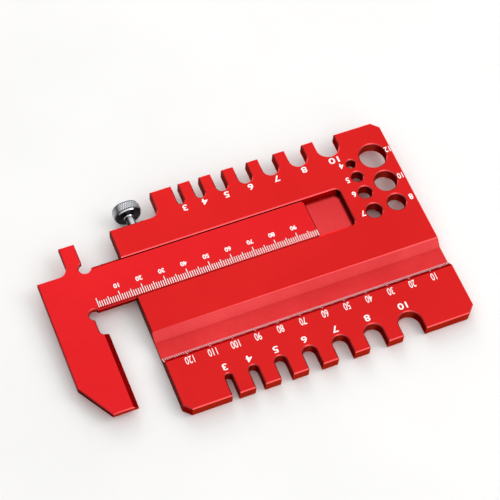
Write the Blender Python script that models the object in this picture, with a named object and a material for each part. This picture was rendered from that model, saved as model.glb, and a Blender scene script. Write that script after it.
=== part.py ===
"""Mortise gauge: a notched and drilled plate with a captive measuring slide and a lock screw.

Lengths are in metres. +X runs along the plate, away from the jaw, +Y runs towards the stepped corner with
the lock screw and +Z is up. The origin is in the middle of the plate's underside.
"""
import math

import bmesh
import bpy
from mathutils import Vector
from mathutils.geometry import delaunay_2d_cdt

# Nominal sizes of the notches and holes, and how much wider each is cut
NOMINAL_3 = 0.003
NOMINAL_4 = 0.004
NOMINAL_5 = 0.005
NOMINAL_6 = 0.006
NOMINAL_7 = 0.007
NOMINAL_8 = 0.008
NOMINAL_10 = 0.010
NOMINAL_12 = 0.012
GAUGE_ALLOWANCE = 0.0002

# Fits that several pieces share
RUNNING_GAP = 0.0003
CUT_OVERRUN = 0.002

# Plate
PLATE_THICKNESS = 0.006
PLATE_EDGE_BREAK = 0.00042
CORNER_CUT = 0.0032

# Notches along the upper edge, left to right after the stepped corner
UPPER_NOTCHES = (NOMINAL_3, NOMINAL_4, NOMINAL_5, NOMINAL_6, NOMINAL_7, NOMINAL_8, NOMINAL_10)
UPPER_NOTCH_DEPTH = 0.010
UPPER_NOTCH_LAND = 0.0054
STEP_LENGTH = 0.0225
STEP_HEIGHT = 0.01195
STEP_FILLET = 0.0035
FIRST_TOOTH = 0.00965

# Notches along the lower edge, left to right
LOWER_NOTCHES = (NOMINAL_3, NOMINAL_4, NOMINAL_5, NOMINAL_6, NOMINAL_7, NOMINAL_8, NOMINAL_10)
LOWER_NOTCH_DEPTH = 0.010
LOWER_NOTCH_LAND = 0.007
LOWER_NOTCH_START = 0.0205

# Ruled groove, from the lower notches upwards
GROOVE_WEB = 0.01335
GROOVE_BEVEL = 0.0033
GROOVE_FLOOR = 0.008
GROOVE_FLANK = 0.0035
GROOVE_DEPTH = 0.0035

# Channel for the slide, measured where its lips end below the broken edge
CHANNEL_WEB = 0.01805
CHANNEL_MOUTH = 0.0194
CHANNEL_END_RADIUS = 0.0023
SCREW_WALL = 0.01405

# Dowel holes, each column from the end nearest the groove
NEAR_COLUMN = (NOMINAL_7, NOMINAL_6, NOMINAL_5, NOMINAL_4)
NEAR_COLUMN_DROP = 0.0062
WEB_7_TO_6 = 0.0031
WEB_6_TO_5 = 0.0028
WEB_5_TO_4 = 0.0023
FAR_COLUMN = (NOMINAL_8, NOMINAL_10, NOMINAL_12)
FAR_COLUMN_DROP = 0.0056
WEB_8_TO_10 = 0.0023
WEB_10_TO_12 = 0.0026
CHANNEL_TO_HOLES = 0.00645
NOTCH_TO_NEAR_COLUMN = 0.0011
COLUMN_SPACING = 0.0109
FAR_COLUMN_TO_EDGE = 0.00905

# Slide, whose bar has sloped shoulders under the channel's lips
SLIDE_THICKNESS = 0.0028
LIP_LAND = 0.0001
SLIDE_EDGE_BREAK = 0.00042
SLIDE_BACK_BREAK = 0.0002
SHOULDER_WIDTH = 0.0011
SHOULDER_DEPTH = 0.0008
SHOULDER_INSET = 0.0006
BAR_END_GAP = 0.0005
BAR_END_CUT = 0.002

# Jaw head, measured from the measuring face and from the bar's two edges
JAW_BACK = 0.0205
JAW_DROP = 0.0464
JAW_TIP = 0.0109
JAW_CHAMFER_RISE = 0.0155
HEAD_STEP = 0.0002
TAB_WIDTH = 0.0069
TAB_HEIGHT = 0.0129
TAB_FILLET = 0.0038
TAB_RELIEF_RADIUS = 0.0027
TAB_RELIEF_X = 0.0006
TAB_RELIEF_Y = 0.0005
JAW_RELIEF_RADIUS = 0.0025
JAW_RELIEF_X = 0.0028
JAW_RELIEF_Y = 0.0013
SETBACK_DEPTH = 0.0035
SETBACK_LENGTH = 0.0112
SETBACK_RADIUS = 0.002
MEASURING_BEVEL_WIDTH = 0.0022
MEASURING_BEVEL_DEPTH = 0.0015
REST_OPENING = 0.0162

# Lock screw and the pad that it pushes
SCREW_X = 0.0105
SHANK_RADIUS = 0.002
HEAD_RADIUS = 0.0062
HEAD_LENGTH = 0.0051
HEAD_CLEARANCE = 0.0053
HEAD_EDGE_BREAK = 0.0004
TIP_EDGE_BREAK = 0.0004
HOLE_BREAKTHROUGH = 0.0007
PAD_RADIUS = 0.0016
PAD_LENGTH = 0.004
PAD_EDGE_BREAK = 0.0002

# Facets of round shapes
HOLE_SEGMENTS = 40
NOTCH_SEGMENTS = 10
CORNER_SEGMENTS = 8
RELIEF_SEGMENTS = 24
TURNED_SEGMENTS = 48
SMOOTH_ANGLE = math.radians(35)

# Colours as linear values, with metallic and roughness
PLATE_FINISH = ((0.60, 0.014, 0.017), 0.55, 0.38)
SLIDE_FINISH = ((0.68, 0.016, 0.022), 0.55, 0.36)
SCREW_FINISH = ((0.32, 0.32, 0.33), 1.0, 0.28)
PAD_FINISH = ((0.62, 0.42, 0.16), 1.0, 0.35)


def notch_width(nominal):
    return nominal + GAUGE_ALLOWANCE


def row_length(nominals, land):
    return sum(notch_width(nominal) for nominal in nominals) + land * (len(nominals) - 1)


# Places along the plate, from its left edge
UPPER_NOTCH_START = STEP_LENGTH + FIRST_TOOTH
UPPER_ROW_END = UPPER_NOTCH_START + row_length(UPPER_NOTCHES, UPPER_NOTCH_LAND)
NEAR_COLUMN_X = UPPER_ROW_END + NOTCH_TO_NEAR_COLUMN
FAR_COLUMN_X = NEAR_COLUMN_X + COLUMN_SPACING
PLATE_LENGTH = FAR_COLUMN_X + FAR_COLUMN_TO_EDGE
CHANNEL_LENGTH = NEAR_COLUMN_X - notch_width(NOMINAL_7) / 2 - CHANNEL_TO_HOLES

# Places across the plate, from its lower edge
BEVEL_TOP_Y = LOWER_NOTCH_DEPTH + GROOVE_WEB
BEVEL_FOOT_Y = BEVEL_TOP_Y + GROOVE_BEVEL
FLANK_FOOT_Y = BEVEL_FOOT_Y + GROOVE_FLOOR
FLANK_TOP_Y = FLANK_FOOT_Y + GROOVE_FLANK
CHANNEL_Y = FLANK_TOP_Y + CHANNEL_WEB + CHANNEL_MOUTH / 2
STEP_Y = CHANNEL_Y + CHANNEL_MOUTH / 2 + SCREW_WALL
PLATE_WIDTH = STEP_Y + STEP_HEIGHT

# Section of the slide and its channel, whose lips follow the bar's shoulders at the running gap
BAR_TOP_HALF = CHANNEL_MOUTH / 2 - SHOULDER_INSET
BAR_HALF = BAR_TOP_HALF + SHOULDER_WIDTH
CHANNEL_HALF = BAR_HALF + RUNNING_GAP
SHOULDER_SLOPE = SHOULDER_DEPTH / SHOULDER_WIDTH
LIP_RISE = RUNNING_GAP * math.hypot(SHOULDER_DEPTH, SHOULDER_WIDTH) / SHOULDER_WIDTH
LIP_EDGE = PLATE_THICKNESS - PLATE_EDGE_BREAK - LIP_LAND
LIP_FOOT = LIP_EDGE - (CHANNEL_HALF - CHANNEL_MOUTH / 2) * SHOULDER_SLOPE
SLIDE_TOP = LIP_EDGE - LIP_RISE + SHOULDER_INSET * SHOULDER_SLOPE
SLIDE_BACK = SLIDE_TOP - SLIDE_THICKNESS
CHANNEL_FLOOR = SLIDE_BACK - RUNNING_GAP
BAR_LENGTH = CHANNEL_LENGTH - BAR_END_GAP

# Places along the lock screw's axis, from the stepped corner's face outwards
SCREW_HEIGHT = PLATE_THICKNESS / 2
CHANNEL_WALL = CHANNEL_Y + CHANNEL_HALF - STEP_Y
PAD_BACK = CHANNEL_WALL + PAD_LENGTH
SCREW_TIP = PAD_BACK + RUNNING_GAP
HEAD_FACE = HEAD_CLEARANCE + HEAD_LENGTH

# Place of the row frame's origin on the plate
ORIGIN_X = PLATE_LENGTH / 2
ORIGIN_Y = PLATE_WIDTH / 2


def clear_scene():
    for old in list(bpy.data.objects):
        bpy.data.objects.remove(old, do_unlink=True)


def make_material(name, finish):
    colour, metallic, roughness = finish
    material = bpy.data.materials.new(name)
    material.use_nodes = True
    shader = material.node_tree.nodes["Principled BSDF"]
    shader.inputs["Base Color"].default_value = (*colour, 1.0)
    shader.inputs["Metallic"].default_value = metallic
    shader.inputs["Roughness"].default_value = roughness
    material.diffuse_color = (*colour, 1.0)
    return material


def add_object(name, form, material=None):
    """Turn a closed bmesh into an object with its normals outward and its round faces smooth."""
    bmesh.ops.recalc_face_normals(form, faces=form.faces)
    mesh = bpy.data.meshes.new(name)
    form.to_mesh(mesh)
    form.free()
    mesh.shade_smooth()
    mesh.set_sharp_from_angle(angle=SMOOTH_ANGLE)
    if material:
        mesh.materials.append(material)
    made = bpy.data.objects.new(name, mesh)
    bpy.context.scene.collection.objects.link(made)
    return made


def arc(centre, radius, start, end, segments):
    """Points on a circle from one angle to another, both ends included."""
    turns = [start + (end - start) * step / segments for step in range(segments + 1)]
    return [(centre[0] + radius * math.cos(turn), centre[1] + radius * math.sin(turn)) for turn in turns]


def circle(centre, radius, segments):
    return arc(centre, radius, 0, 2 * math.pi, segments)[:-1]


def rounded(corners):
    """An outline from corners given as x, y and radius, where a radius of zero keeps the point."""
    points = []
    for place, (x, y, radius) in enumerate(corners):
        corner = Vector((x, y))
        if not radius:
            points.append(corner)
            continue
        before = (Vector(corners[place - 1][:2]) - corner).normalized()
        after = (Vector(corners[(place + 1) % len(corners)][:2]) - corner).normalized()
        half = before.angle(after) / 2
        centre = corner + (before + after).normalized() * radius / math.sin(half)
        start = corner + before * radius / math.tan(half) - centre
        sweep = start.angle_signed(corner + after * radius / math.tan(half) - centre)
        first = math.atan2(start.y, start.x)
        points += [Vector(point) for point in arc(centre, radius, first, first - sweep, CORNER_SEGMENTS)]
    return points


def inset(points, depths):
    """Move each edge of a counter-clockwise outline inwards by its own depth and join the edges again."""
    count = len(points)
    if not isinstance(depths, (list, tuple)):
        depths = [depths] * count
    corners = [Vector(point) for point in points]
    moved = []
    for place in range(count):
        before = (corners[place] - corners[place - 1]).normalized()
        after = (corners[(place + 1) % count] - corners[place]).normalized()
        turn = before.cross(after)
        in_before = Vector((-before.y, before.x)) * depths[place - 1]
        in_after = Vector((-after.y, after.x)) * depths[place]
        along = 0
        if turn:
            along = (in_after - in_before).cross(after) / turn
        moved.append(corners[place] + in_before + before * along)
    return moved


def at_height(points, height):
    return [Vector((point[0], point[1], height)) for point in points]


def add_walls(form, rings):
    """Join rings with equal counts of points by strips of faces, and give back their vertices."""
    levels = [[form.verts.new(point) for point in ring] for ring in rings]
    for low, high in zip(levels, levels[1:]):
        for place in range(len(low)):
            following = (place + 1) % len(low)
            form.faces.new((low[place], low[following], high[following], high[place]))
    return levels


def add_pierced_cap(form, rings):
    """Fill a level outline, apart from the holes that follow it, with well-shaped triangles."""
    corners = [vertex for ring in rings for vertex in ring]
    loops = []
    first = 0
    for ring in rings:
        loops.append(list(range(first, first + len(ring))))
        first += len(ring)
    flat = [vertex.co.xy for vertex in corners]
    inside_loops = 1
    _, _, triangles, sources, _, owners = delaunay_2d_cdt(flat, [], loops, inside_loops, 0, True)
    for triangle, owner in zip(triangles, owners):
        if owner == [0]:
            form.faces.new([corners[sources[index][0]] for index in triangle])


def add_stack(form, rings):
    """A closed solid from rings piled one on the other."""
    levels = add_walls(form, rings)
    form.faces.new(levels[0])
    form.faces.new(levels[-1])


def notch(start, nominal, edge, floor):
    """Corners of one round-ended notch, from its first wall at the plate's edge to its second."""
    half = notch_width(nominal) / 2
    centre = (start + half, floor + math.copysign(half, edge - floor))
    first = math.copysign(math.pi, edge - floor)
    end = arc(centre, half, first, 2 * first, 2 * NOTCH_SEGMENTS)
    return [(start, edge), *end, (start + 2 * half, edge)]


def notch_row(start, nominals, land, edge, floor):
    points = []
    for nominal in nominals:
        points += notch(start, nominal, edge, floor)
        start += notch_width(nominal) + land
    return points


def plate_outline():
    """The plate's rim, counter-clockwise from its lower left corner."""
    lower = notch_row(LOWER_NOTCH_START, LOWER_NOTCHES, LOWER_NOTCH_LAND, 0, LOWER_NOTCH_DEPTH)
    upper_floor = PLATE_WIDTH - UPPER_NOTCH_DEPTH
    upper = notch_row(UPPER_NOTCH_START, UPPER_NOTCHES, UPPER_NOTCH_LAND, PLATE_WIDTH, upper_floor)
    step_centre = (STEP_LENGTH - STEP_FILLET, STEP_Y + STEP_FILLET)
    step = arc(step_centre, STEP_FILLET, 0, -math.pi / 2, CORNER_SEGMENTS)
    return [
        (CORNER_CUT, 0),
        *lower,
        (PLATE_LENGTH - CORNER_CUT, 0),
        (PLATE_LENGTH, CORNER_CUT),
        (PLATE_LENGTH, PLATE_WIDTH - CORNER_CUT),
        (PLATE_LENGTH - CORNER_CUT, PLATE_WIDTH),
        *reversed(upper),
        (STEP_LENGTH, PLATE_WIDTH),
        *step,
        (0, STEP_Y),
        (0, CORNER_CUT),
    ]


def hole_column(nominals, webs, x, first_y):
    """Centres and radii of a column of holes with a given web between neighbours."""
    holes = []
    y = first_y
    for nominal, web in zip(nominals, (0, *webs)):
        radius = notch_width(nominal) / 2
        if holes:
            y += holes[-1][1] + web + radius
        holes.append(((x, y), radius))
    return holes


def dowel_holes():
    near = (WEB_7_TO_6, WEB_6_TO_5, WEB_5_TO_4)
    far = (WEB_8_TO_10, WEB_10_TO_12)
    return [
        *hole_column(NEAR_COLUMN, near, NEAR_COLUMN_X, CHANNEL_Y - NEAR_COLUMN_DROP),
        *hole_column(FAR_COLUMN, far, FAR_COLUMN_X, CHANNEL_Y - FAR_COLUMN_DROP),
    ]


def broken_rings(outline, depth, low, high):
    """Rings of a wall whose two edges are broken by the same small chamfer."""
    return [
        at_height(inset(outline, depth), low),
        at_height(outline, low + abs(depth)),
        at_height(outline, high - abs(depth)),
        at_height(inset(outline, depth), high),
    ]


def plate_blank(form):
    """The plate with its notches and dowel holes, every rim broken above and below."""
    rims = [plate_outline()]
    rims += [circle(centre, radius, HOLE_SEGMENTS) for centre, radius in dowel_holes()]
    walls = []
    for place, rim in enumerate(rims):
        depth = -PLATE_EDGE_BREAK if place else PLATE_EDGE_BREAK
        walls.append(add_walls(form, broken_rings(rim, depth, 0, PLATE_THICKNESS)))
    add_pierced_cap(form, [levels[0] for levels in walls])
    add_pierced_cap(form, [levels[-1] for levels in walls])


def channel_ring(half_width, growth, height):
    """One ring of the channel's cutter, open past the plate's left edge and rounded at its end."""
    end = CHANNEL_LENGTH + growth
    radius = CHANNEL_END_RADIUS + growth
    return at_height(rounded([
        (-CUT_OVERRUN, CHANNEL_Y - half_width, 0),
        (end, CHANNEL_Y - half_width, radius),
        (end, CHANNEL_Y + half_width, radius),
        (-CUT_OVERRUN, CHANNEL_Y + half_width, 0),
    ]), height)


def channel_cutter(form):
    """The undercut channel, widening again where its upper edges are broken."""
    mouth = CHANNEL_MOUTH / 2
    flare = PLATE_EDGE_BREAK + CUT_OVERRUN
    add_stack(form, [
        channel_ring(CHANNEL_HALF, 0, CHANNEL_FLOOR),
        channel_ring(CHANNEL_HALF, 0, LIP_FOOT),
        channel_ring(mouth, 0, LIP_EDGE),
        channel_ring(mouth, 0, PLATE_THICKNESS - PLATE_EDGE_BREAK),
        channel_ring(mouth + flare, flare, PLATE_THICKNESS + CUT_OVERRUN),
    ])


def groove_cutter(form):
    """The ruled groove along the whole plate, with a steep bevel below and a flank above."""
    floor = PLATE_THICKNESS - GROOVE_DEPTH
    bevel_over = CUT_OVERRUN * GROOVE_BEVEL / GROOVE_DEPTH
    flank_over = CUT_OVERRUN * GROOVE_FLANK / GROOVE_DEPTH
    profile = [
        (BEVEL_TOP_Y - bevel_over, PLATE_THICKNESS + CUT_OVERRUN),
        (BEVEL_FOOT_Y, floor),
        (FLANK_FOOT_Y, floor),
        (FLANK_TOP_Y + flank_over, PLATE_THICKNESS + CUT_OVERRUN),
    ]
    ends = (-CUT_OVERRUN, PLATE_LENGTH + CUT_OVERRUN)
    add_stack(form, [[Vector((x, y, z)) for y, z in profile] for x in ends])


def turned_stack(form, profile):
    """A closed turned solid around the Y axis, from pairs of a radius and a place along it."""
    add_stack(form, [
        [Vector((x, along, z)) for x, z in circle((0, 0), radius, TURNED_SEGMENTS)]
        for radius, along in profile
    ])


def screw_hole_cutter(form):
    """The screw's hole, from the stepped corner through the channel's wall."""
    radius = SHANK_RADIUS + RUNNING_GAP
    turned_stack(form, [(radius, CHANNEL_WALL - HOLE_BREAKTHROUGH), (radius, CUT_OVERRUN)])


def slide_outline():
    """The slide's rim, counter-clockwise, from its measuring face and the channel's middle line."""
    tab_relief = (TAB_RELIEF_X, BAR_HALF + TAB_RELIEF_Y)
    tab_start = -math.asin(TAB_RELIEF_Y / TAB_RELIEF_RADIUS)
    tab_end = math.acos(-TAB_RELIEF_X / TAB_RELIEF_RADIUS) - 2 * math.pi
    tab_top = BAR_HALF + TAB_HEIGHT
    head_top = BAR_HALF - HEAD_STEP
    fillet = (-TAB_WIDTH - TAB_FILLET, head_top + TAB_FILLET)
    tip = -BAR_HALF - JAW_DROP
    setback = -BAR_HALF - SETBACK_LENGTH
    setback_corner = (SETBACK_RADIUS - SETBACK_DEPTH, setback + SETBACK_RADIUS)
    jaw_relief = (-JAW_RELIEF_X, -BAR_HALF - JAW_RELIEF_Y)
    jaw_start = -math.acos((JAW_RELIEF_X - SETBACK_DEPTH) / JAW_RELIEF_RADIUS)
    jaw_end = math.asin(JAW_RELIEF_Y / JAW_RELIEF_RADIUS) - 2 * math.pi
    return [
        (BAR_LENGTH - BAR_END_CUT, -BAR_HALF),
        (BAR_LENGTH, BAR_END_CUT - BAR_HALF),
        (BAR_LENGTH, BAR_HALF - BAR_END_CUT),
        (BAR_LENGTH - BAR_END_CUT, BAR_HALF),
        *arc(tab_relief, TAB_RELIEF_RADIUS, tab_start, tab_end, RELIEF_SEGMENTS),
        (0, tab_top),
        (-TAB_WIDTH, tab_top),
        *arc(fillet, TAB_FILLET, 0, -math.pi / 2, CORNER_SEGMENTS),
        (-JAW_BACK, head_top),
        (-JAW_BACK, tip + JAW_CHAMFER_RISE),
        (-JAW_TIP, tip),
        (0, tip),
        (0, setback),
        *arc(setback_corner, SETBACK_RADIUS, -math.pi / 2, -math.pi, CORNER_SEGMENTS),
        *arc(jaw_relief, JAW_RELIEF_RADIUS, jaw_start, jaw_end, RELIEF_SEGMENTS),
    ]


def slide_depths(outline, on_bar, elsewhere):
    """One depth for the two long edges of the bar and another for every other edge."""
    depths = []
    for place, start in enumerate(outline):
        end = outline[(place + 1) % len(outline)]
        flat = math.isclose(start[1], end[1]) and math.isclose(abs(start[1]), BAR_HALF)
        depths.append(on_bar if flat else elsewhere)
    return depths


def slide_blank(form):
    """The slide before its bevel is cut, with shoulders on the bar and broken edges all round."""
    outline = slide_outline()
    part_shoulder = (SHOULDER_DEPTH - SLIDE_EDGE_BREAK) / SHOULDER_SLOPE
    mid = inset(outline, slide_depths(outline, part_shoulder, 0))
    top = inset(outline, slide_depths(outline, SHOULDER_WIDTH, SLIDE_EDGE_BREAK))
    add_stack(form, [
        at_height(inset(outline, SLIDE_BACK_BREAK), 0),
        at_height(outline, SLIDE_BACK_BREAK),
        at_height(outline, SLIDE_THICKNESS - SHOULDER_DEPTH),
        at_height(mid, SLIDE_THICKNESS - SLIDE_EDGE_BREAK),
        at_height(top, SLIDE_THICKNESS),
    ])


def bevel_cutter(form):
    """The wedge that bevels the jaw down to its measuring face."""
    over = CUT_OVERRUN * MEASURING_BEVEL_WIDTH / MEASURING_BEVEL_DEPTH
    low = SLIDE_THICKNESS - MEASURING_BEVEL_DEPTH - CUT_OVERRUN
    high = SLIDE_THICKNESS + CUT_OVERRUN
    profile = [(over, low), (over, high), (-MEASURING_BEVEL_WIDTH - over, high)]
    start = -BAR_HALF - JAW_DROP - CUT_OVERRUN
    end = SETBACK_RADIUS - BAR_HALF - SETBACK_LENGTH
    add_stack(form, [[Vector((x, y, z)) for x, z in profile] for y in (start, end)])


def cut_away(target, name, fill):
    """Build a hidden cutter in the target's own place and take it out with an exact Boolean."""
    form = bmesh.new()
    fill(form)
    cutter = add_object(name, form)
    cutter.location = target.location
    cutter.hide_render = True
    cutter.display_type = "WIRE"
    cut = target.modifiers.new(name, "BOOLEAN")
    cut.operation = "DIFFERENCE"
    cut.solver = "EXACT"
    cut.object = cutter
    return cutter


def build_plate():
    form = bmesh.new()
    plate_blank(form)
    plate = add_object("body_plate", form, make_material("plate_anodised", PLATE_FINISH))
    plate.location = (-ORIGIN_X, -ORIGIN_Y, 0)
    cut_away(plate, "channel_cutter", channel_cutter)
    cut_away(plate, "groove_cutter", groove_cutter)
    hole = cut_away(plate, "screw_hole_cutter", screw_hole_cutter)
    hole.location = (SCREW_X - ORIGIN_X, STEP_Y - ORIGIN_Y, SCREW_HEIGHT)


def build_slide():
    """The slide, with its origin on the channel's middle line at the measuring face."""
    form = bmesh.new()
    slide_blank(form)
    slide = add_object("slide_jaw", form, make_material("slide_anodised", SLIDE_FINISH))
    slide.location = (-REST_OPENING - ORIGIN_X, CHANNEL_Y - ORIGIN_Y, SLIDE_BACK)
    cut_away(slide, "measuring_bevel_cutter", bevel_cutter)


def build_lock():
    """The lock screw and its pad, on an empty where the screw's axis leaves the stepped corner."""
    axis = bpy.data.objects.new("lock_axis", None)
    axis.location = (SCREW_X - ORIGIN_X, STEP_Y - ORIGIN_Y, SCREW_HEIGHT)
    bpy.context.scene.collection.objects.link(axis)

    form = bmesh.new()
    turned_stack(form, [
        (SHANK_RADIUS - TIP_EDGE_BREAK, SCREW_TIP),
        (SHANK_RADIUS, SCREW_TIP + TIP_EDGE_BREAK),
        (SHANK_RADIUS, HEAD_CLEARANCE),
        (HEAD_RADIUS - HEAD_EDGE_BREAK, HEAD_CLEARANCE),
        (HEAD_RADIUS, HEAD_CLEARANCE + HEAD_EDGE_BREAK),
        (HEAD_RADIUS, HEAD_FACE - HEAD_EDGE_BREAK),
        (HEAD_RADIUS - HEAD_EDGE_BREAK, HEAD_FACE),
    ])
    add_object("lock_screw", form, make_material("screw_steel", SCREW_FINISH)).parent = axis

    form = bmesh.new()
    turned_stack(form, [
        (PAD_RADIUS - PAD_EDGE_BREAK, CHANNEL_WALL),
        (PAD_RADIUS, CHANNEL_WALL + PAD_EDGE_BREAK),
        (PAD_RADIUS, PAD_BACK - PAD_EDGE_BREAK),
        (PAD_RADIUS - PAD_EDGE_BREAK, PAD_BACK),
    ])
    add_object("pressure_pad", form, make_material("pad_brass", PAD_FINISH)).parent = axis


def main():
    clear_scene()
    build_plate()
    build_slide()
    build_lock()


main()
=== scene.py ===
"""The looks of a mortise gauge: a red anodised plate with a captive measuring slide and a knurled lock screw.

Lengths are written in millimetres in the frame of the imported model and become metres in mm().
X runs along the plate, Y across it towards the lock screw, and Z up from its underside.
"""

import math

import bmesh
import bpy
from mathutils import Matrix, Vector


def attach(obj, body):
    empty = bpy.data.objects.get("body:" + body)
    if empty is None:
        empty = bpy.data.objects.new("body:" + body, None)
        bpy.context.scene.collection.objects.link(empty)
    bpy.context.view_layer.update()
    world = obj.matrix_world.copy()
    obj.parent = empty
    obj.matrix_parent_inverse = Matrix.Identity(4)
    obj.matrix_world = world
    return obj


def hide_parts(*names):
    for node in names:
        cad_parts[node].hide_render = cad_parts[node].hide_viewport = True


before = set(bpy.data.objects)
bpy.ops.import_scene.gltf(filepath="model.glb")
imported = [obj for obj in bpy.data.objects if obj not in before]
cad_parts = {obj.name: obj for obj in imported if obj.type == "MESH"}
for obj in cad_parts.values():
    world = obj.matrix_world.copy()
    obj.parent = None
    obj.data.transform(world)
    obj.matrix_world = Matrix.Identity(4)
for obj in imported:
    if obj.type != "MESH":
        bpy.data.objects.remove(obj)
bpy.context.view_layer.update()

# Plate and its notches
PLATE_HALF_LENGTH = 65.0
PLATE_HALF_WIDTH = 50.8
PLATE_TOP = 6.0
NOTCH_PLAY = 0.2
NOTCH_SIZES = (3, 4, 5, 6, 7, 8, 10)
UPPER_NOTCH_START = 32.15
UPPER_NOTCH_LAND = 5.4
LOWER_NOTCH_START = 20.5
LOWER_NOTCH_LAND = 7.0

# Ruler bevel along the groove: it falls from the plate's top to the groove's floor
BEVEL_TOP_Y = -27.45
BEVEL_FOOT_Y = -24.15
GROOVE_FLOOR = 2.5

# Slide: its top face and the edge that the scale stands on
SLIDE_TOP = 5.545
JAW_X = -81.2
SCALE_EDGE_Y = 6.05

# Lock screw: its axis runs along Y
SCREW_X = -54.5
SCREW_Z = 3.0
HEAD_RADIUS = 6.2
HEAD_OUTER_Y = 49.25
HEAD_INNER_Y = 44.15
SHANK_RADIUS = 2.0
SCREW_TIP_Y = 29.9
HEAD_RIM_RADIUS = 5.5
TIP_RADIUS = 1.4
TIP_LENGTH = 0.6

# The dish in the head's end face, as radius and depth, and the neck under the head, as radius and distance
DISH_PROFILE = ((0.0, 0.45), (3.8, 0.45), (4.2, 0.32), (4.55, 0.06), (4.7, 0.0))
NECK_PROFILE = ((2.9, 0.0), (2.5, 0.08), (2.2, 0.3), (2.04, 0.62))
NECK_LENGTH = 1.0
SHANK_FROM = 0.62
# The neck takes the inner face's painted shade this far from the face
DARK_NECK = 0.25

# Knurl: diamonds round the rim, rows of half-diamonds along it, its depth, and where it starts and ends
KNURL_DIAMONDS = 44
KNURL_ROWS = 4
KNURL_DEPTH = 0.40
KNURL_FROM_Y = 44.75
KNURL_TO_Y = 48.75
KNURL_PITCH = (KNURL_TO_Y - KNURL_FROM_Y) / KNURL_ROWS

# The painted shade in the knurl's valleys, and the painted shade on the shank's sides
VALLEY_SHADE_GREY = (0.10, 0.10, 0.11, 1.0)
SIDE_SHADE_GREY = (0.07, 0.07, 0.08, 1.0)

# Channel: its middle line, how far its walls reach from there, and where it ends
CHANNEL_Y = 15.1
CHANNEL_REACH = 10.8
CHANNEL_END_X = 37.5

# Milled floors lie below the first height, and the channel's walls start at the second
MILLED_BELOW = 3.2
CHANNEL_WALLS_FROM = 2.0

# The jaw's bevel reaches this far from the jaw, and the middles of chamfers lie this near the plate's top
BEVEL_REACH = 2.6
CHAMFER_REACH = 0.7

# Parts of a unit normal: Z over LEVEL is a level face, under UPRIGHT a wall, and X past SIDEWAYS faces a side
LEVEL = 0.95
UPRIGHT = 0.15
SIDEWAYS = 0.6

# The least part of the normal along Y on the ruler's bevel, and along X on the jaw's
RULER_BEVEL_LEAN = 0.5
JAW_BEVEL_LEAN = 0.4

# The inner chamfer of the screw's head takes the painted shade where its normal has less Z than this, or more X
LIT_CHAMFER_RISE = 0.6
LIT_CHAMFER_TURN = 0.4

# Walls left of this line are the plate's outer rim, and those of the jaw; they take the darkest wall red, as
# painted shade
LEFT_RIM_X = -64.5

# Marks stand this far above the metal and reach this far into it
MARK_RISE = 0.02
MARK_ROOT = 0.03


def mm(*values):
    """Millimetres to metres: one number, or a Vector for several."""
    if len(values) == 1:
        return values[0] * 0.001
    return Vector(values) * 0.001


# Materials

def new_material(name):
    """An empty node material with its output and one Principled shader."""
    material = bpy.data.materials.new(name)
    material.use_nodes = True
    tree = material.node_tree
    tree.nodes.clear()
    output = tree.nodes.new("ShaderNodeOutputMaterial")
    shader = tree.nodes.new("ShaderNodeBsdfPrincipled")
    tree.links.new(shader.outputs["BSDF"], output.inputs["Surface"])
    return material, tree, shader


def add_node(tree, kind, **settings):
    """A node with its properties set; keys of its inputs go in the values dictionary."""
    values = settings.pop("values", {})
    node = tree.nodes.new(kind)
    for key, setting in settings.items():
        setattr(node, key, setting)
    for key, value in values.items():
        node.inputs[key].default_value = value
    return node


def mix_colours(tree, share, first, second, blend="MIX"):
    """A colour Mix node; share, first and second are sockets or values."""
    node = add_node(tree, "ShaderNodeMix", data_type="RGBA", blend_type=blend)
    for socket, value in ((node.inputs[0], share), (node.inputs[6], first), (node.inputs[7], second)):
        if isinstance(value, bpy.types.NodeSocket):
            tree.links.new(value, socket)
        else:
            socket.default_value = value
    return node.outputs[2]


def maths(tree, operation, first, second=0.0, third=0.0, clamp=False):
    """A Math node on sockets or numbers."""
    node = add_node(tree, "ShaderNodeMath", operation=operation, use_clamp=clamp)
    for socket, value in zip(node.inputs, (first, second, third)):
        if isinstance(value, bpy.types.NodeSocket):
            tree.links.new(value, socket)
        else:
            socket.default_value = value
    return node.outputs[0]


def ranged(tree, value, low, high, to_low=0.0, to_high=1.0):
    """A Map Range node that takes low..high smoothly to to_low..to_high."""
    node = add_node(tree, "ShaderNodeMapRange", interpolation_type="SMOOTHSTEP")
    tree.links.new(value, node.inputs["Value"])
    node.inputs["From Min"].default_value = low
    node.inputs["From Max"].default_value = high
    node.inputs["To Min"].default_value = to_low
    node.inputs["To Max"].default_value = to_high
    return node.outputs["Result"]


def group_tree(name, inputs, outputs):
    """A shader node group with float or colour sockets."""
    tree = bpy.data.node_groups.new(name, "ShaderNodeTree")
    for label, kind, value in inputs:
        socket = tree.interface.new_socket(label, in_out="INPUT", socket_type=kind)
        socket.default_value = value
    for label, kind in outputs:
        tree.interface.new_socket(label, in_out="OUTPUT", socket_type=kind)
    return tree, tree.nodes.new("NodeGroupInput"), tree.nodes.new("NodeGroupOutput")


def build_cloud_group():
    """Slow, soft changes of tone over a finish: 0 to 1, about a given number of millimetres across."""
    tree, given, put = group_tree(
        "finish_clouds", [("Size mm", "NodeSocketFloat", 20.0)], [("Tone", "NodeSocketFloat")])
    place = add_node(tree, "ShaderNodeTexCoord")
    scale = maths(tree, "DIVIDE", 1000.0, given.outputs["Size mm"])
    noise = add_node(tree, "ShaderNodeTexNoise", values={"Detail": 3.0, "Roughness": 0.55})
    tree.links.new(place.outputs["Object"], noise.inputs["Vector"])
    tree.links.new(scale, noise.inputs["Scale"])
    tree.links.new(ranged(tree, noise.outputs["Fac"], 0.3, 0.7), put.inputs["Tone"])
    return tree


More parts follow.
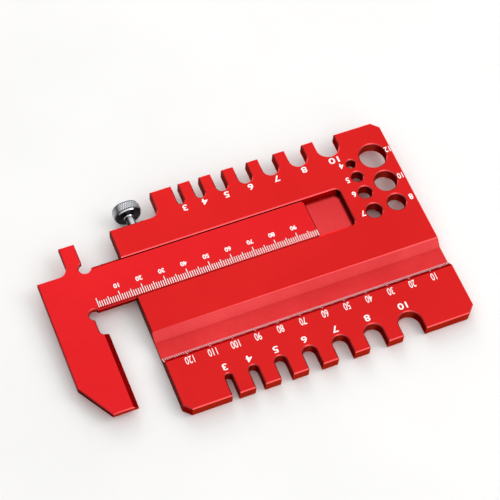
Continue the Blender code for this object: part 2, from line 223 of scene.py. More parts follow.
def build_grain_group():
    """The fine blasted grain of a satin finish, as a height."""
    tree, given, put = group_tree(
        "satin_grain", [("Grain mm", "NodeSocketFloat", 0.12)], [("Height", "NodeSocketFloat")])
    place = add_node(tree, "ShaderNodeTexCoord")
    scale = maths(tree, "DIVIDE", 1000.0, given.outputs["Grain mm"])
    noise = add_node(tree, "ShaderNodeTexNoise", values={"Detail": 4.0, "Roughness": 0.7})
    tree.links.new(place.outputs["Object"], noise.inputs["Vector"])
    tree.links.new(scale, noise.inputs["Scale"])
    tree.links.new(noise.outputs["Fac"], put.inputs["Height"])
    return tree


def build_edge_group():
    """Where an edge has been rubbed: 1 on the rounded arris, broken up by a noise."""
    tree, given, put = group_tree(
        "rubbed_edges", [("Width mm", "NodeSocketFloat", 0.15), ("Amount", "NodeSocketFloat", 0.5)],
        [("Mask", "NodeSocketFloat")])
    place = add_node(tree, "ShaderNodeTexCoord")
    geometry = add_node(tree, "ShaderNodeNewGeometry")
    arris = add_node(tree, "ShaderNodeBevel", samples=4)
    tree.links.new(maths(tree, "MULTIPLY", given.outputs["Width mm"], 0.001), arris.inputs["Radius"])
    facing = add_node(tree, "ShaderNodeVectorMath", operation="DOT_PRODUCT")
    tree.links.new(arris.outputs["Normal"], facing.inputs[0])
    tree.links.new(geometry.outputs["Normal"], facing.inputs[1])
    turned = ranged(tree, facing.outputs["Value"], 0.999, 0.93)
    noise = add_node(tree, "ShaderNodeTexNoise", values={"Scale": 700.0, "Detail": 4.0})
    tree.links.new(place.outputs["Object"], noise.inputs["Vector"])
    broken = ranged(tree, noise.outputs["Fac"], 0.38, 0.62, 0.35, 1.0)
    worn = maths(tree, "MULTIPLY", turned, broken)
    tree.links.new(maths(tree, "MULTIPLY", worn, given.outputs["Amount"]), put.inputs["Mask"])
    return tree


def build_cutter_group():
    """The fine arcs that an end mill leaves as it passes along X, lane by lane, as a height."""
    tree, given, put = group_tree(
        "cutter_arcs", [("Lane mm", "NodeSocketFloat", 6.0), ("Feed mm", "NodeSocketFloat", 0.4)],
        [("Height", "NodeSocketFloat")])
    place = add_node(tree, "ShaderNodeTexCoord")
    parts = add_node(tree, "ShaderNodeSeparateXYZ")
    tree.links.new(place.outputs["Object"], parts.inputs[0])
    radius = maths(tree, "MULTIPLY", given.outputs["Lane mm"], 0.5)
    across = maths(tree, "PINGPONG", maths(tree, "MULTIPLY", parts.outputs["Y"], 1000.0), radius)
    radius_squared = maths(tree, "MULTIPLY", radius, radius)
    rise = maths(tree, "SUBTRACT", radius_squared, maths(tree, "MULTIPLY", across, across))
    bow = maths(tree, "SQRT", maths(tree, "MAXIMUM", rise, 0.0))
    along = maths(tree, "ADD", maths(tree, "MULTIPLY", parts.outputs["X"], 1000.0), bow)
    turns = maths(tree, "DIVIDE", maths(tree, "MULTIPLY", along, 2.0 * math.pi), given.outputs["Feed mm"])
    wave = maths(tree, "MULTIPLY_ADD", maths(tree, "SINE", turns), 0.5, 0.5)
    noise = add_node(tree, "ShaderNodeTexNoise", values={"Scale": 300.0, "Detail": 3.0})
    tree.links.new(place.outputs["Object"], noise.inputs["Vector"])
    tree.links.new(maths(tree, "MULTIPLY", wave, noise.outputs["Fac"]), put.inputs["Height"])
    return tree


CLOUDS = build_cloud_group()
GRAIN = build_grain_group()
EDGES = build_edge_group()
CUTTER = build_cutter_group()


def place_group(tree, group, **values):
    """A node that runs a group; an underscore in a value's name stands for the space in its socket's."""
    node = tree.nodes.new("ShaderNodeGroup")
    node.node_tree = group
    for label, value in values.items():
        node.inputs[label.replace("_", " ")].default_value = value
    return node


def normal_along_x(tree):
    """The X of the surface's normal, as a socket."""
    geometry = add_node(tree, "ShaderNodeNewGeometry")
    parts = add_node(tree, "ShaderNodeSeparateXYZ")
    tree.links.new(geometry.outputs["Normal"], parts.inputs[0])
    return parts.outputs["X"]


def add_bump(tree, shader, height, strength, distance):
    """A bump on a shader, with its distance in millimetres."""
    bump = add_node(tree, "ShaderNodeBump", values={"Strength": strength, "Distance": mm(distance)})
    tree.links.new(height, bump.inputs["Height"])
    tree.links.new(bump.outputs["Normal"], shader.inputs["Normal"])


# The dye colours the metal's reflection at grazing angles too
DYE_GRAZING_TINT = (0.95, 0.06, 0.06, 1.0)
# The walls' browner grazing tint goes with their painted shade
WALL_GRAZING_TINT = (0.60, 0.33, 0.29, 1.0)


def anodised_red(name, colour, cloud_colour, rub_colour, roughness, cutter_share, painted_left_shade=None,
                 grazing=DYE_GRAZING_TINT):
    """Dyed aluminium as one machining step leaves it: tinted metal with grain, cutter marks and rubbed edges.

    A painted left shade is the colour that walls facing the jaw's side fade to: painted shade on the walls that
    face -X.
    """
    material, tree, shader = new_material(name)
    clouds = place_group(tree, CLOUDS, Size_mm=28.0)
    specks = place_group(tree, CLOUDS, Size_mm=1.1)
    grain = place_group(tree, GRAIN, Grain_mm=0.16)
    cutter = place_group(tree, CUTTER, Lane_mm=6.4, Feed_mm=0.55)
    edges = place_group(tree, EDGES, Width_mm=0.14, Amount=0.3)
    dyed = mix_colours(tree, clouds.outputs["Tone"], colour, cloud_colour)
    mottle = maths(tree, "MULTIPLY", specks.outputs["Tone"], 0.10 + 0.35 * cutter_share)
    mottled = mix_colours(tree, mottle, dyed, cloud_colour)
    # Painted shade: walls that face -X darken smoothly towards the given colour
    if painted_left_shade:
        mottled = mix_colours(tree, ranged(tree, normal_along_x(tree), -0.3, -0.92), mottled, painted_left_shade)
    swirl = maths(tree, "MULTIPLY", cutter.outputs["Height"], 0.45 * cutter_share)
    marked = mix_colours(tree, swirl, mottled, rub_colour)
    rubbed = mix_colours(tree, edges.outputs["Mask"], marked, rub_colour)
    tree.links.new(rubbed, shader.inputs["Base Color"])
    uneven = maths(tree, "MULTIPLY_ADD", grain.outputs["Height"], 0.06, roughness - 0.03)
    tree.links.new(uneven, shader.inputs["Roughness"])
    height = maths(tree, "MULTIPLY_ADD", cutter.outputs["Height"], 1.6 * cutter_share, grain.outputs["Height"])
    add_bump(tree, shader, height, 0.18, 0.05)
    shader.inputs["Metallic"].default_value = 1.0
    shader.inputs["Specular Tint"].default_value = grazing
    return material


def marking_white():
    """The white of the scales and numbers: a matt, slightly uneven fill."""
    material, tree, shader = new_material("marking_white")
    clouds = place_group(tree, CLOUDS, Size_mm=1.6)
    grain = place_group(tree, GRAIN, Grain_mm=0.08)
    colour = mix_colours(tree, clouds.outputs["Tone"], (0.93, 0.86, 0.85, 1.0), (0.99, 0.95, 0.94, 1.0))
    tree.links.new(colour, shader.inputs["Base Color"])
    add_bump(tree, shader, grain.outputs["Height"], 0.1, 0.02)
    shader.inputs["Roughness"].default_value = 0.6
    return material


def plated_steel(name, bright, dull, roughness, shaded_valleys=False, shaded_sides=False):
    """Nickel-plated turned steel; painted shade sits in the knurl's valleys, and on the sides of the shank."""
    material, tree, shader = new_material(name)
    place = add_node(tree, "ShaderNodeTexCoord")
    centred = add_node(tree, "ShaderNodeMapping", vector_type="POINT")
    centred.inputs["Location"].default_value = (-mm(SCREW_X), 0.0, -mm(SCREW_Z))
    tree.links.new(place.outputs["Object"], centred.inputs["Vector"])
    clouds = place_group(tree, CLOUDS, Size_mm=2.2)
    grain = place_group(tree, GRAIN, Grain_mm=0.06)
    colour = mix_colours(tree, clouds.outputs["Tone"], bright, dull)
    uneven = maths(tree, "MULTIPLY_ADD", grain.outputs["Height"], 0.08, roughness - 0.04)
    # Painted shade: the knurl darkens towards its valleys
    if shaded_valleys:
        flat = add_node(tree, "ShaderNodeVectorMath", operation="MULTIPLY")
        flat.inputs[1].default_value = (1.0, 0.0, 1.0)
        tree.links.new(centred.outputs["Vector"], flat.inputs[0])
        radius = add_node(tree, "ShaderNodeVectorMath", operation="LENGTH")
        tree.links.new(flat.outputs["Vector"], radius.inputs[0])
        depth = ranged(tree, radius.outputs["Value"], mm(HEAD_RADIUS - 0.2), mm(HEAD_RADIUS - KNURL_DEPTH))
        colour = mix_colours(tree, depth, colour, VALLEY_SHADE_GREY)
        uneven = maths(tree, "MULTIPLY_ADD", depth, 0.2, uneven)
    # Painted shade: the shank darkens on its left and right sides
    if shaded_sides:
        sideways = normal_along_x(tree)
        left = ranged(tree, sideways, 0.05, -0.55)
        right = ranged(tree, sideways, 0.55, 0.85)
        colour = mix_colours(tree, maths(tree, "MAXIMUM", left, right), colour, SIDE_SHADE_GREY)
    tree.links.new(colour, shader.inputs["Base Color"])
    tree.links.new(uneven, shader.inputs["Roughness"])
    turning = add_node(tree, "ShaderNodeTexWave", wave_type="RINGS", rings_direction="Y",
                       values={"Scale": 900.0, "Distortion": 1.5, "Detail": 2.0})
    tree.links.new(centred.outputs["Vector"], turning.inputs["Vector"])
    height = maths(tree, "MULTIPLY_ADD", turning.outputs["Fac"], 0.6, grain.outputs["Height"])
    add_bump(tree, shader, height, 0.08, 0.02)
    shader.inputs["Metallic"].default_value = 1.0
    return material


def turned_brass():
    """Plain brass for the pressure pad inside the plate."""
    material, tree, shader = new_material("turned_brass")
    clouds = place_group(tree, CLOUDS, Size_mm=2.0)
    grain = place_group(tree, GRAIN, Grain_mm=0.06)
    colour = mix_colours(tree, clouds.outputs["Tone"], (0.62, 0.42, 0.14, 1.0), (0.74, 0.54, 0.22, 1.0))
    tree.links.new(colour, shader.inputs["Base Color"])
    add_bump(tree, shader, grain.outputs["Height"], 0.1, 0.02)
    shader.inputs["Metallic"].default_value = 1.0
    shader.inputs["Roughness"].default_value = 0.32
    return material


PLATE_RED = anodised_red("plate_blasted_red", (0.687, 0.0193, 0.0190, 1.0), (0.655, 0.0172, 0.0170, 1.0),
                         (0.80, 0.10, 0.11, 1.0), 0.38, 0.0)
SLIDE_RED = anodised_red("slide_blasted_red", (0.763, 0.0195, 0.0235, 1.0), (0.729, 0.0175, 0.0210, 1.0),
                         (0.84, 0.11, 0.12, 1.0), 0.37, 0.0)
MILLED_RED = anodised_red("milled_red", (0.733, 0.0388, 0.0410, 1.0), (0.641, 0.0254, 0.0271, 1.0),
                          (0.88, 0.15, 0.16, 1.0), 0.42, 0.55)
FLANK_RED = anodised_red("groove_flank_red", (0.770, 0.0624, 0.0667, 1.0), (0.690, 0.0450, 0.0480, 1.0),
                         (0.90, 0.17, 0.18, 1.0), 0.42, 0.55)
# Painted shade: the cut walls take a darker copy of the dye than the floors and the top
WALL_SHADE_RED = anodised_red("cut_wall_painted_shade_red", (0.56, 0.055, 0.038, 1.0), (0.50, 0.048, 0.032, 1.0),
                        (0.68, 0.07, 0.05, 1.0), 0.34, 0.12, painted_left_shade=(0.19, 0.004, 0.001, 1.0),
                        grazing=WALL_GRAZING_TINT)
# Painted shade: the outer rim on the left and the jaw's walls take the darkest wall red
RIM_SHADE_RED = anodised_red("left_rim_painted_shade_red", (0.30, 0.020, 0.012, 1.0), (0.26, 0.016, 0.010, 1.0),
                       (0.44, 0.04, 0.03, 1.0), 0.34, 0.12, painted_left_shade=(0.06, 0.003, 0.001, 1.0),
                       grazing=WALL_GRAZING_TINT)
# Painted shade: the jaw's bevel and the ruler's bevel take a near-black red
JAW_BEVEL_SHADE_RED = anodised_red("jaw_bevel_painted_shade_red", (0.30, 0.0035, 0.004, 1.0), (0.26, 0.003, 0.003, 1.0),
                         (0.5, 0.03, 0.03, 1.0), 0.30, 0.0)
RULER_BEVEL_SHADE_RED = anodised_red("ruler_bevel_painted_shade_red", (0.19, 0.0028, 0.0028, 1.0), (0.165, 0.0024, 0.0024, 1.0),
                               (0.4, 0.03, 0.03, 1.0), 0.30, 0.0)
# Painted highlight: the chamfers take a lighter, pinker copy of the dye
CHAMFER_HIGHLIGHT_RED = anodised_red("chamfer_painted_highlight_red", (0.96, 0.11, 0.115, 1.0), (0.90, 0.09, 0.095, 1.0),
                           (0.96, 0.20, 0.21, 1.0), 0.27, 0.0)
CHANNEL_FLOOR_RED = anodised_red("channel_floor_red", (0.84, 0.052, 0.056, 1.0), (0.735, 0.034, 0.037, 1.0),
                                 (0.92, 0.16, 0.17, 1.0), 0.20, 0.45)
# Painted shade: the channel's walls stand near black, darker still where they face -X
CHANNEL_WALL_SHADE_RED = anodised_red("channel_wall_painted_shade_red", (0.36, 0.012, 0.012, 1.0), (0.30, 0.010, 0.010, 1.0),
                                (0.4, 0.03, 0.02, 1.0), 0.30, 0.0, painted_left_shade=(0.03, 0.004, 0.001, 1.0),
                                grazing=WALL_GRAZING_TINT)
MARGIN_RED = anodised_red("dark_tick_margin_red", (0.16, 0.004, 0.004, 1.0), (0.12, 0.003, 0.003, 1.0),
                          (0.3, 0.02, 0.02, 1.0), 0.40, 0.0)
MARKING = marking_white()
PLATED = plated_steel("plated_steel", (0.74, 0.75, 0.77, 1.0), (0.64, 0.65, 0.68, 1.0), 0.32)
# Painted highlight: the knurl's steel is lighter than the plain plating
KNURLED = plated_steel("knurled_steel", (0.90, 0.91, 0.93, 1.0), (0.76, 0.77, 0.80, 1.0), 0.26,
                       shaded_valleys=True)
# Painted shade: the head's inner face, the neck beside it and the lower and right part of the inner chamfer
# stand near black
SHADED_FACE_STEEL = plated_steel("painted_shade_steel", (0.010, 0.010, 0.013, 1.0), (0.024, 0.024, 0.028, 1.0), 0.30)
SHANK = plated_steel("shank_steel", (0.74, 0.75, 0.77, 1.0), (0.64, 0.65, 0.68, 1.0), 0.30, shaded_sides=True)
BRASS = turned_brass()


# Metal pieces

CREASE = math.radians(24.0)
WELD = mm(0.001)


def finish_piece(bm, name, material, body):
    """Turns a bmesh into a piece that rides on a body."""
    mesh = bpy.data.meshes.new(name)
    bm.to_mesh(mesh)
    bm.free()
    piece = bpy.data.objects.new(name, mesh)
    bpy.context.scene.collection.objects.link(piece)
    piece.data.materials.append(material)
    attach(piece, body)
    return piece


def crease_edges(bm, angle):
    """Smooth shading with hard edges wherever the metal turns by more than the angle."""
    for face in bm.faces:
        face.smooth = True
    for edge in bm.edges:
        edge.smooth = len(edge.link_faces) == 2 and edge.calc_face_angle(math.pi) < angle


# The finishes of a machined piece, in the order of its material slots; the blasted stock comes first; walls,
# rim, bevels and channel walls carry painted shade, chamfers a painted highlight
BLASTED, MILLED, WALLS, BEVELS, CHAMFERS, CHANNEL_FLOOR, CHANNEL_WALLS, FLANK, RULER_BEVEL, LEFT_RIM = range(10)
CUT_FINISHES_AND_SHADES = (MILLED_RED, WALL_SHADE_RED, JAW_BEVEL_SHADE_RED, CHAMFER_HIGHLIGHT_RED, CHANNEL_FLOOR_RED, CHANNEL_WALL_SHADE_RED, FLANK_RED,
                RULER_BEVEL_SHADE_RED, RIM_SHADE_RED)


def machining_step(face):
    """Which step made a face, with the painted shade or highlight its slot carries: blasted stock, milled floor
    or flank, cut wall, rim or channel wall in painted shade, chamfer with a painted highlight, or bevel in
    painted shade.
    """
    normal = face.normal
    centre = face.calc_center_median() / mm(1.0)
    on_plate = abs(centre.x) < PLATE_HALF_LENGTH
    in_channel = on_plate and centre.x < CHANNEL_END_X and abs(centre.y - CHANNEL_Y) < CHANNEL_REACH
    if normal.z > LEVEL:
        if centre.z > MILLED_BELOW:
            return BLASTED
        return CHANNEL_FLOOR if in_channel else MILLED
    if normal.z < -LEVEL:
        return BLASTED
    if in_channel and CHANNEL_WALLS_FROM < centre.z < SLIDE_TOP:
        return CHANNEL_WALLS
    if abs(normal.z) < UPRIGHT:
        return LEFT_RIM if normal.x < -SIDEWAYS and centre.x < LEFT_RIM_X else WALLS
    if normal.y > RULER_BEVEL_LEAN and BEVEL_TOP_Y < centre.y < BEVEL_FOOT_Y:
        return RULER_BEVEL
    if normal.x > JAW_BEVEL_LEAN and JAW_X - BEVEL_REACH < centre.x < JAW_X and centre.y < SCALE_EDGE_Y:
        return BEVELS
    return CHAMFERS if abs(centre.z - PLATE_TOP) < CHAMFER_REACH else FLANK


def machined_piece(node, name, material, body):
    """The machined solid of a node, with its curved walls shaded round and its edges crisp."""
    bm = bmesh.new()
    bm.from_mesh(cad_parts[node].data)
    for layer in list(bm.loops.layers.uv.values()):
        bm.loops.layers.uv.remove(layer)
    bmesh.ops.remove_doubles(bm, verts=bm.verts, dist=WELD)
    for face in bm.faces:
        face.material_index = machining_step(face)
    crease_edges(bm, CREASE)
    piece = finish_piece(bm, name, material, body)
    for finish in CUT_FINISHES_AND_SHADES:
        piece.data.materials.append(finish)
    for attribute in [a for a in piece.data.attributes if a.name == "custom_normal"]:
        piece.data.attributes.remove(attribute)
    weighted = piece.modifiers.new("flat_faces_stay_flat", "WEIGHTED_NORMAL")
    weighted.keep_sharp = True
    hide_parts(node)
    return piece


def spin_profile(bm, points, steps):
    """Turns a profile of (radius, y) points round the screw's axis into a closed skin."""
    made = []
    for radius, y in points:
        made.append(bm.verts.new(mm(SCREW_X + radius, y, SCREW_Z)))
    edges = [bm.edges.new(pair) for pair in zip(made, made[1:])]
    bmesh.ops.spin(bm, geom=made + edges, cent=mm(SCREW_X, 0.0, SCREW_Z), axis=Vector((0.0, 1.0, 0.0)),
                   angle=2.0 * math.pi, steps=steps, use_merge=True, use_duplicate=False)
    bmesh.ops.remove_doubles(bm, verts=bm.verts, dist=mm(0.004))
    bmesh.ops.recalc_face_normals(bm, faces=bm.faces)


def screw_radius(vert):
    """How far a vertex lies from the screw's axis."""
    return math.hypot(vert.co.x - mm(SCREW_X), vert.co.z - mm(SCREW_Z))


def screw_profile():
    """The screw from the dish in its end face to its tip, with one point for each row of the knurl."""
    valley = HEAD_RADIUS - KNURL_DEPTH
    profile = [(radius, HEAD_OUTER_Y - depth) for radius, depth in DISH_PROFILE]
    profile.append((HEAD_RIM_RADIUS, HEAD_OUTER_Y))
    profile += [(valley, KNURL_TO_Y - row * KNURL_PITCH) for row in range(KNURL_ROWS + 1)]
    profile.append((HEAD_RIM_RADIUS, HEAD_INNER_Y))
    profile += [(radius, HEAD_INNER_Y - distance) for radius, distance in NECK_PROFILE]
    profile += [(SHANK_RADIUS, HEAD_INNER_Y - NECK_LENGTH), (SHANK_RADIUS, SCREW_TIP_Y + TIP_LENGTH),
                (TIP_RADIUS, SCREW_TIP_Y), (0.0, SCREW_TIP_Y)]
    return profile


def raise_knurl(bm):
    """Joins the knurl's valleys across the rim and lifts a peak in the middle of each diamond."""
    valley = HEAD_RADIUS - KNURL_DEPTH
    peaks = []
    valleys = []
    for vert in bm.verts:
        y = vert.co.y / mm(1.0)
        if abs(screw_radius(vert) - mm(valley)) > mm(0.02) or not KNURL_FROM_Y - 0.1 < y < KNURL_TO_Y + 0.1:
            continue
        angle = math.atan2(vert.co.z - mm(SCREW_Z), vert.co.x - mm(SCREW_X))
        column = round(angle / math.pi * KNURL_DIAMONDS)
        row = round((y - KNURL_FROM_Y) / KNURL_PITCH)
        if 0 < row < KNURL_ROWS and (row + column) % 2:
            peaks.append(vert)
        else:
            valleys.append(vert)
    bmesh.ops.connect_verts(bm, verts=valleys)
    for vert in peaks:
        vert.co.x = mm(SCREW_X) + (vert.co.x - mm(SCREW_X)) * HEAD_RADIUS / valley
        vert.co.z = mm(SCREW_Z) + (vert.co.z - mm(SCREW_Z)) * HEAD_RADIUS / valley


# The finishes of the screw, in the order of its material slots
ON_PLATED, ON_KNURL, ON_SHADED, ON_SHANK = range(4)


def screw_finish(face):
    """The material slot of a face of the screw: plated, knurled, in painted shade, or the shank's."""
    centre = face.calc_center_median()
    if mm(KNURL_FROM_Y) < centre.y < mm(KNURL_TO_Y):
        return ON_KNURL
    if mm(HEAD_INNER_Y - DARK_NECK) < centre.y < mm(HEAD_INNER_Y + 0.01):
        return ON_SHADED
    shaded = face.normal.z < LIT_CHAMFER_RISE or face.normal.x > LIT_CHAMFER_TURN
    if shaded and mm(HEAD_INNER_Y) < centre.y < mm(KNURL_FROM_Y):
        return ON_SHADED
    return ON_SHANK if centre.y < mm(HEAD_INNER_Y - SHANK_FROM) else ON_PLATED


def thumb_screw():
    """The knurled lock screw: a dished end face, a diamond rim, an inner face in painted shade and a plain
    shank.
    """
    bm = bmesh.new()
    spin_profile(bm, screw_profile(), 2 * KNURL_DIAMONDS)
    raise_knurl(bm)
    for face in bm.faces:
        face.material_index = screw_finish(face)
    crease_edges(bm, CREASE)
    piece = finish_piece(bm, "thumb_screw", PLATED, "screw")
    for finish in (KNURLED, SHADED_FACE_STEEL, SHANK):
        piece.data.materials.append(finish)
    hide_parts("lock_screw")
    return piece


# Scales and numbers

# Widths of the slide's ticks, of the dark margin round each and of the ruler's ticks
TICK_WIDTH = 0.34
MARGIN_WIDTH = 0.10
RULER_TICK_WIDTH = 0.25

# The dark margins stand this far above the metal, just under the white of the ticks
MARGIN_RISE = 0.01

# The ruler's ticks start this far out on the groove's floor, and stand this far right of whole millimetres
RULER_TICK_START = 0.28
RULER_TICK_SHIFT = 0.3

# Lengths of the ticks for ones, fives and tens, and the last number that has one
RULER_TICK_RUNS = {1: 1.3, 5: 1.8, 10: 2.5}
SLIDE_TICK_LENGTHS = {1: 2.8, 5: 3.65, 10: 4.55}
RULER_LAST = 130
SLIDE_LAST = 99


def tick_length(count, lengths):
    """The length for a tick by its number: tens are the longest, then fives."""
    if count % 10 == 0:
        return lengths[10]
    if count % 5 == 0:
        return lengths[5]
    return lengths[1]


def add_bar(bm, place):
    """A unit cube set in place: one tick."""
    bmesh.ops.create_cube(bm, size=1.0, matrix=place)


def slide_ticks(name, material, margin, rise):
    """The slide's 1 mm ticks that stand on its front edge, or the wider dark margins under them."""
    bm = bmesh.new()
    for count in range(SLIDE_LAST + 1):
        length = tick_length(count, SLIDE_TICK_LENGTHS) + margin
        x = JAW_X + count
        if count == 0:
            x += TICK_WIDTH / 2 + margin
        middle = mm(x, SCALE_EDGE_Y + length / 2, SLIDE_TOP + (rise - MARK_ROOT) / 2)
        size = mm(TICK_WIDTH + 2 * margin, length, rise + MARK_ROOT)
        add_bar(bm, Matrix.Translation(middle) @ Matrix.Diagonal(size.to_4d()))
    return finish_piece(bm, name, material, "slide")


def ruler_ticks():
    """The ruler on the groove's bevel: ticks that start on the floor and climb towards the plate's top."""
    run = BEVEL_FOOT_Y - BEVEL_TOP_Y
    rise = PLATE_TOP - GROOVE_FLOOR
    lean = math.atan2(rise, run)
    stretch = math.hypot(run, rise) / run
    up_slope = Vector((0.0, -math.cos(lean), math.sin(lean)))
    outward = Vector((0.0, math.sin(lean), math.cos(lean)))
    turn = Matrix((Vector((1.0, 0.0, 0.0)), up_slope, outward)).transposed().to_4x4()
    bm = bmesh.new()
    for count in range(1, RULER_LAST + 1):
        length = tick_length(count, RULER_TICK_RUNS) * stretch
        foot = mm(PLATE_HALF_LENGTH - count + RULER_TICK_SHIFT, BEVEL_FOOT_Y, GROOVE_FLOOR)
        middle = foot + up_slope * mm(length / 2) + outward * mm((MARK_RISE - MARK_ROOT) / 2)
        size = mm(RULER_TICK_WIDTH, length, MARK_RISE + MARK_ROOT)
        add_bar(bm, Matrix.Translation(middle) @ turn @ Matrix.Diagonal(size.to_4d()))
        middle = foot + mm(0.0, RULER_TICK_START / 2, (MARK_RISE - MARK_ROOT) / 2)
        size = mm(RULER_TICK_WIDTH, RULER_TICK_START, MARK_RISE + MARK_ROOT)
        add_bar(bm, Matrix.Translation(middle) @ Matrix.Diagonal(size.to_4d()))
    return finish_piece(bm, "ruler_ticks", MARKING, "plate")


def add_number(bm, text, x, y, z, height, stretch, bold):
    """One number lying on a face, read from the lock screw's side, with its ink centred on the place."""
    curve = bpy.data.curves.new("number_" + text, "FONT")
    curve.body = text
    curve.size = 1.0
    curve.offset = bold
    curve.extrude = 0.5
    curve.resolution_u = 6
    writer = bpy.data.objects.new("number_" + text, curve)
    bpy.context.scene.collection.objects.link(writer)
    bpy.context.view_layer.update()
    mesh = bpy.data.meshes.new_from_object(writer.evaluated_get(bpy.context.evaluated_depsgraph_get()))
    bpy.data.objects.remove(writer)
    bpy.data.curves.remove(curve)
    xs = [v.co.x for v in mesh.vertices]
    ys = [v.co.y for v in mesh.vertices]
    middle = Vector(((min(xs) + max(xs)) / 2, (min(ys) + max(ys)) / 2, 0.0))
    size = mm(height) / (max(ys) - min(ys))
    thick = mm(MARK_RISE + MARK_ROOT)
    place = Matrix.Translation(mm(x, y, z + (MARK_RISE - MARK_ROOT) / 2)) @ Matrix.Rotation(math.pi, 4, "Z")
    place = place @ Matrix.Diagonal((size * stretch, size, thick, 1.0)) @ Matrix.Translation(-middle)
    mesh.transform(place)
    bm.from_mesh(mesh)
    bpy.data.meshes.remove(mesh)


def number_set(name, entries, body, slot, z, height, stretch, bold):
    """Several numbers of one style as one piece; each entry is (number, x, y)."""
    bm = bmesh.new()
    for number, x, y in entries:
        add_number(bm, str(number), x, y, z, height, stretch, bold)
    bmesh.ops.remove_doubles(bm, verts=bm.verts, dist=mm(0.0005))
    return finish_piece(bm, name, MARKING, body)


def notch_centres(start, land):
    """The middle of each notch in a row, in the plate's frame."""
    centres = []
    left = start - PLATE_HALF_LENGTH
    for size in NOTCH_SIZES:
        width = size + NOTCH_PLAY
        centres.append((size, left + width / 2))
        left += width + land
    return centres


# Number styles: height, stretch along X, and boldness
NOTCH_STYLE = (3.0, 1.28, 0.018)
LAST_NOTCH_STYLE = (3.0, 1.46, 0.018)
RULER_STYLE = (3.4, 0.62, 0.003)
HOLE_STYLE = (2.8, 1.0, 0.02)
NARROW_HOLE_STYLE = (2.8, 0.83, 0.015)
SLIDE_STYLE = (2.15, 1.0, 0.03)

# Where the rows of numbers stand, and the numbers beside the holes as number, x, y
LOWER_NUMBER_Y = -37.85
UPPER_NUMBER_Y = 38.35
RULER_NUMBER_Y = -29.8
SLIDE_NUMBER_Y = 13.2
UPPER_NUMBER_SHIFT = 0.4
LAST_NUMBER_SHIFT = -0.45
NARROW_HOLE_NUMBERS = ((12, 63.2, 35.5), (10, 62.85, 21.1))
HOLE_NUMBERS = ((8, 62.8, 9.7), (4, 40.7, 34.4), (5, 40.35, 26.75), (6, 40.05, 19.2), (7, 39.7, 9.05))


def all_numbers():
    """The numbers of the notches, the ruler, the holes and the slide."""
    lower = [(size, x, LOWER_NUMBER_Y) for size, x in notch_centres(LOWER_NOTCH_START, LOWER_NOTCH_LAND)]
    upper = [(size, x + UPPER_NUMBER_SHIFT, UPPER_NUMBER_Y)
             for size, x in notch_centres(UPPER_NOTCH_START, UPPER_NOTCH_LAND)]
    last_size, last_x, last_y = upper.pop()
    last = [(last_size, last_x + LAST_NUMBER_SHIFT, last_y)]
    ruler = [(count, PLATE_HALF_LENGTH - count, RULER_NUMBER_Y) for count in range(10, RULER_LAST, 10)]
    slide = [(count, JAW_X + count, SLIDE_NUMBER_Y) for count in range(10, SLIDE_LAST, 10)]
    number_set("notch_numbers", lower + upper, "plate", "body_plate", PLATE_TOP, *NOTCH_STYLE)
    number_set("ruler_numbers", ruler, "plate", "body_plate", PLATE_TOP, *RULER_STYLE)
    number_set("last_notch_number", last, "plate", "body_plate", PLATE_TOP, *LAST_NOTCH_STYLE)
    number_set("hole_numbers", HOLE_NUMBERS, "plate", "body_plate", PLATE_TOP, *HOLE_STYLE)
    number_set("narrow_hole_numbers", NARROW_HOLE_NUMBERS, "plate", "body_plate", PLATE_TOP, *NARROW_HOLE_STYLE)
    number_set("slide_numbers", slide, "slide", "slide_jaw", SLIDE_TOP, *SLIDE_STYLE)


# Floor, light and camera

# The floor's half size in metres, the chamfer of the plate's front edge, and the gap under it
FLOOR_HALF_SIZE = 1.6
FRONT_CHAMFER = 0.4
FLOOR_GAP = 0.03


def build_floor():
    """A pale sheet that the gauge rests on with the plate's front edge and the screw's head."""
    rest_y = -PLATE_HALF_WIDTH + FRONT_CHAMFER
    drop = (HEAD_RADIUS - SCREW_Z) / (HEAD_INNER_Y - rest_y)
    bm = bmesh.new()
    bmesh.ops.create_grid(bm, x_segments=1, y_segments=1, size=FLOOR_HALF_SIZE)
    bmesh.ops.rotate(bm, verts=bm.verts, cent=(0.0, 0.0, 0.0), matrix=Matrix.Rotation(-math.atan(drop), 3, "X"))
    bmesh.ops.translate(bm, verts=bm.verts, vec=mm(0.0, rest_y, -FLOOR_GAP))
    mesh = bpy.data.meshes.new("floor")
    bm.to_mesh(mesh)
    bm.free()
    floor = bpy.data.objects.new("floor", mesh)
    bpy.context.scene.collection.objects.link(floor)
    material, tree, shader = new_material("pale_sheet")
    clouds = place_group(tree, CLOUDS, Size_mm=90.0)
    colour = mix_colours(tree, clouds.outputs["Tone"], (0.80, 0.795, 0.785, 1.0), (0.83, 0.825, 0.815, 1.0))
    tree.links.new(colour, shader.inputs["Base Color"])
    shader.inputs["Roughness"].default_value = 0.85
    floor.data.materials.append(material)


# Each lamp: name, azimuth and elevation in degrees, distance and size in metres, and power in watts
LAMPS = (
    ("key_lamp", 110.0, 46.0, 1.0, 0.6, 2.8),
    ("front_lamp", 168.0, 27.0, 1.2, 0.8, 1.6),
    ("back_lamp", 5.0, 30.0, 1.3, 0.6, 3.4),
)


def add_lamp(name, azimuth, elevation, distance, size, power):
    """A square soft lamp that looks at the middle of the plate."""
    light = bpy.data.lights.new(name, "AREA")
    light.shape = "SQUARE"
    light.size = size
    light.energy = power
    holder = bpy.data.objects.new(name, light)
    bpy.context.scene.collection.objects.link(holder)
    flat = distance * math.cos(math.radians(elevation))
    place = Vector((flat * math.sin(math.radians(azimuth)), flat * math.cos(math.radians(azimuth)),
                    distance * math.sin(math.radians(elevation))))
    holder.location = place
    holder.rotation_euler = (-place).to_track_quat("-Z", "Y").to_euler()


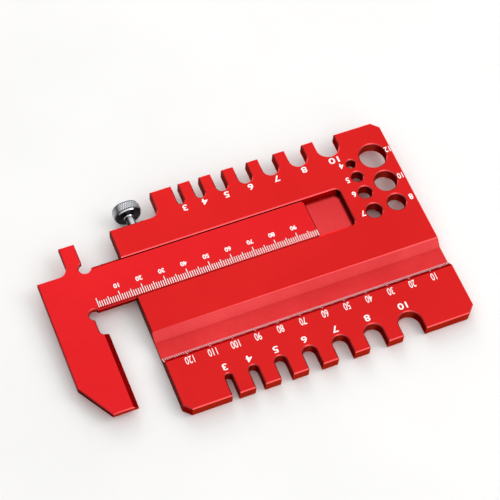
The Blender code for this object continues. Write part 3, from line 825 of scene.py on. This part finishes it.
def build_room():
    """A pale room that darkens towards the floor, with a bright low wall behind and a dark one on the left."""
    world = bpy.data.worlds.new("studio")
    world.use_nodes = True
    tree = world.node_tree
    background = tree.nodes["Background"]
    place = add_node(tree, "ShaderNodeTexCoord")
    parts = add_node(tree, "ShaderNodeSeparateXYZ")
    tree.links.new(place.outputs["Generated"], parts.inputs[0])
    height = ranged(tree, parts.outputs["Z"], -0.05, 0.75)
    low = ranged(tree, parts.outputs["Z"], 0.68, 0.3)
    behind = maths(tree, "MULTIPLY", ranged(tree, parts.outputs["Y"], 0.25, 0.8), low)
    left = maths(tree, "MULTIPLY", ranged(tree, parts.outputs["X"], -0.35, -0.8), low)
    sky = mix_colours(tree, height, (0.30, 0.30, 0.31, 1.0), (1.0, 1.0, 1.0, 1.0))
    sky = mix_colours(tree, behind, sky, (1.8, 1.8, 1.8, 1.0))
    sky = mix_colours(tree, left, sky, (0.10, 0.10, 0.10, 1.0))
    tree.links.new(sky, background.inputs["Color"])
    background.inputs["Strength"].default_value = 0.95
    bpy.context.scene.world = world


# The camera's place, its direction and roll in degrees, and its lens, as fitted to the photograph
CAMERA_PLACE = (-170.39, -299.80, 605.29)
CAMERA_AZIMUTH = 27.031
CAMERA_ELEVATION = 59.929
CAMERA_ROLL = 5.672
CAMERA_LENS = 118.05


def build_camera():
    """The photograph's view: from the front left, steeply down, with a small roll."""
    azimuth = math.radians(CAMERA_AZIMUTH)
    elevation = math.radians(CAMERA_ELEVATION)
    roll = math.radians(CAMERA_ROLL)
    back = Vector((-math.sin(azimuth) * math.cos(elevation), -math.cos(azimuth) * math.cos(elevation),
                   math.sin(elevation)))
    level = Vector((math.cos(azimuth), -math.sin(azimuth), 0.0))
    rise = back.cross(level)
    right = level * math.cos(roll) + rise * math.sin(roll)
    data = bpy.data.cameras.new("photo_camera")
    data.lens = CAMERA_LENS
    data.sensor_width = 36.0
    data.clip_start = 0.01
    data.clip_end = 20.0
    camera = bpy.data.objects.new("photo_camera", data)
    bpy.context.scene.collection.objects.link(camera)
    turn = Matrix((right, back.cross(right), back)).transposed().to_4x4()
    camera.matrix_world = Matrix.Translation(mm(*CAMERA_PLACE)) @ turn
    bpy.context.scene.camera = camera


machined_piece("body_plate", "gauge_plate", PLATE_RED, "plate")
machined_piece("slide_jaw", "measuring_slide", SLIDE_RED, "slide")
thumb_screw()
slide_ticks("slide_ticks", MARKING, 0.0, MARK_RISE)
slide_ticks("slide_tick_margins", MARGIN_RED, MARGIN_WIDTH, MARGIN_RISE)
ruler_ticks()
all_numbers()
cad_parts["pressure_pad"].data.materials[0] = BRASS
build_floor()
for lamp in LAMPS:
    add_lamp(*lamp)
build_room()
build_camera()
bpy.context.scene.view_settings.view_transform = "Standard"
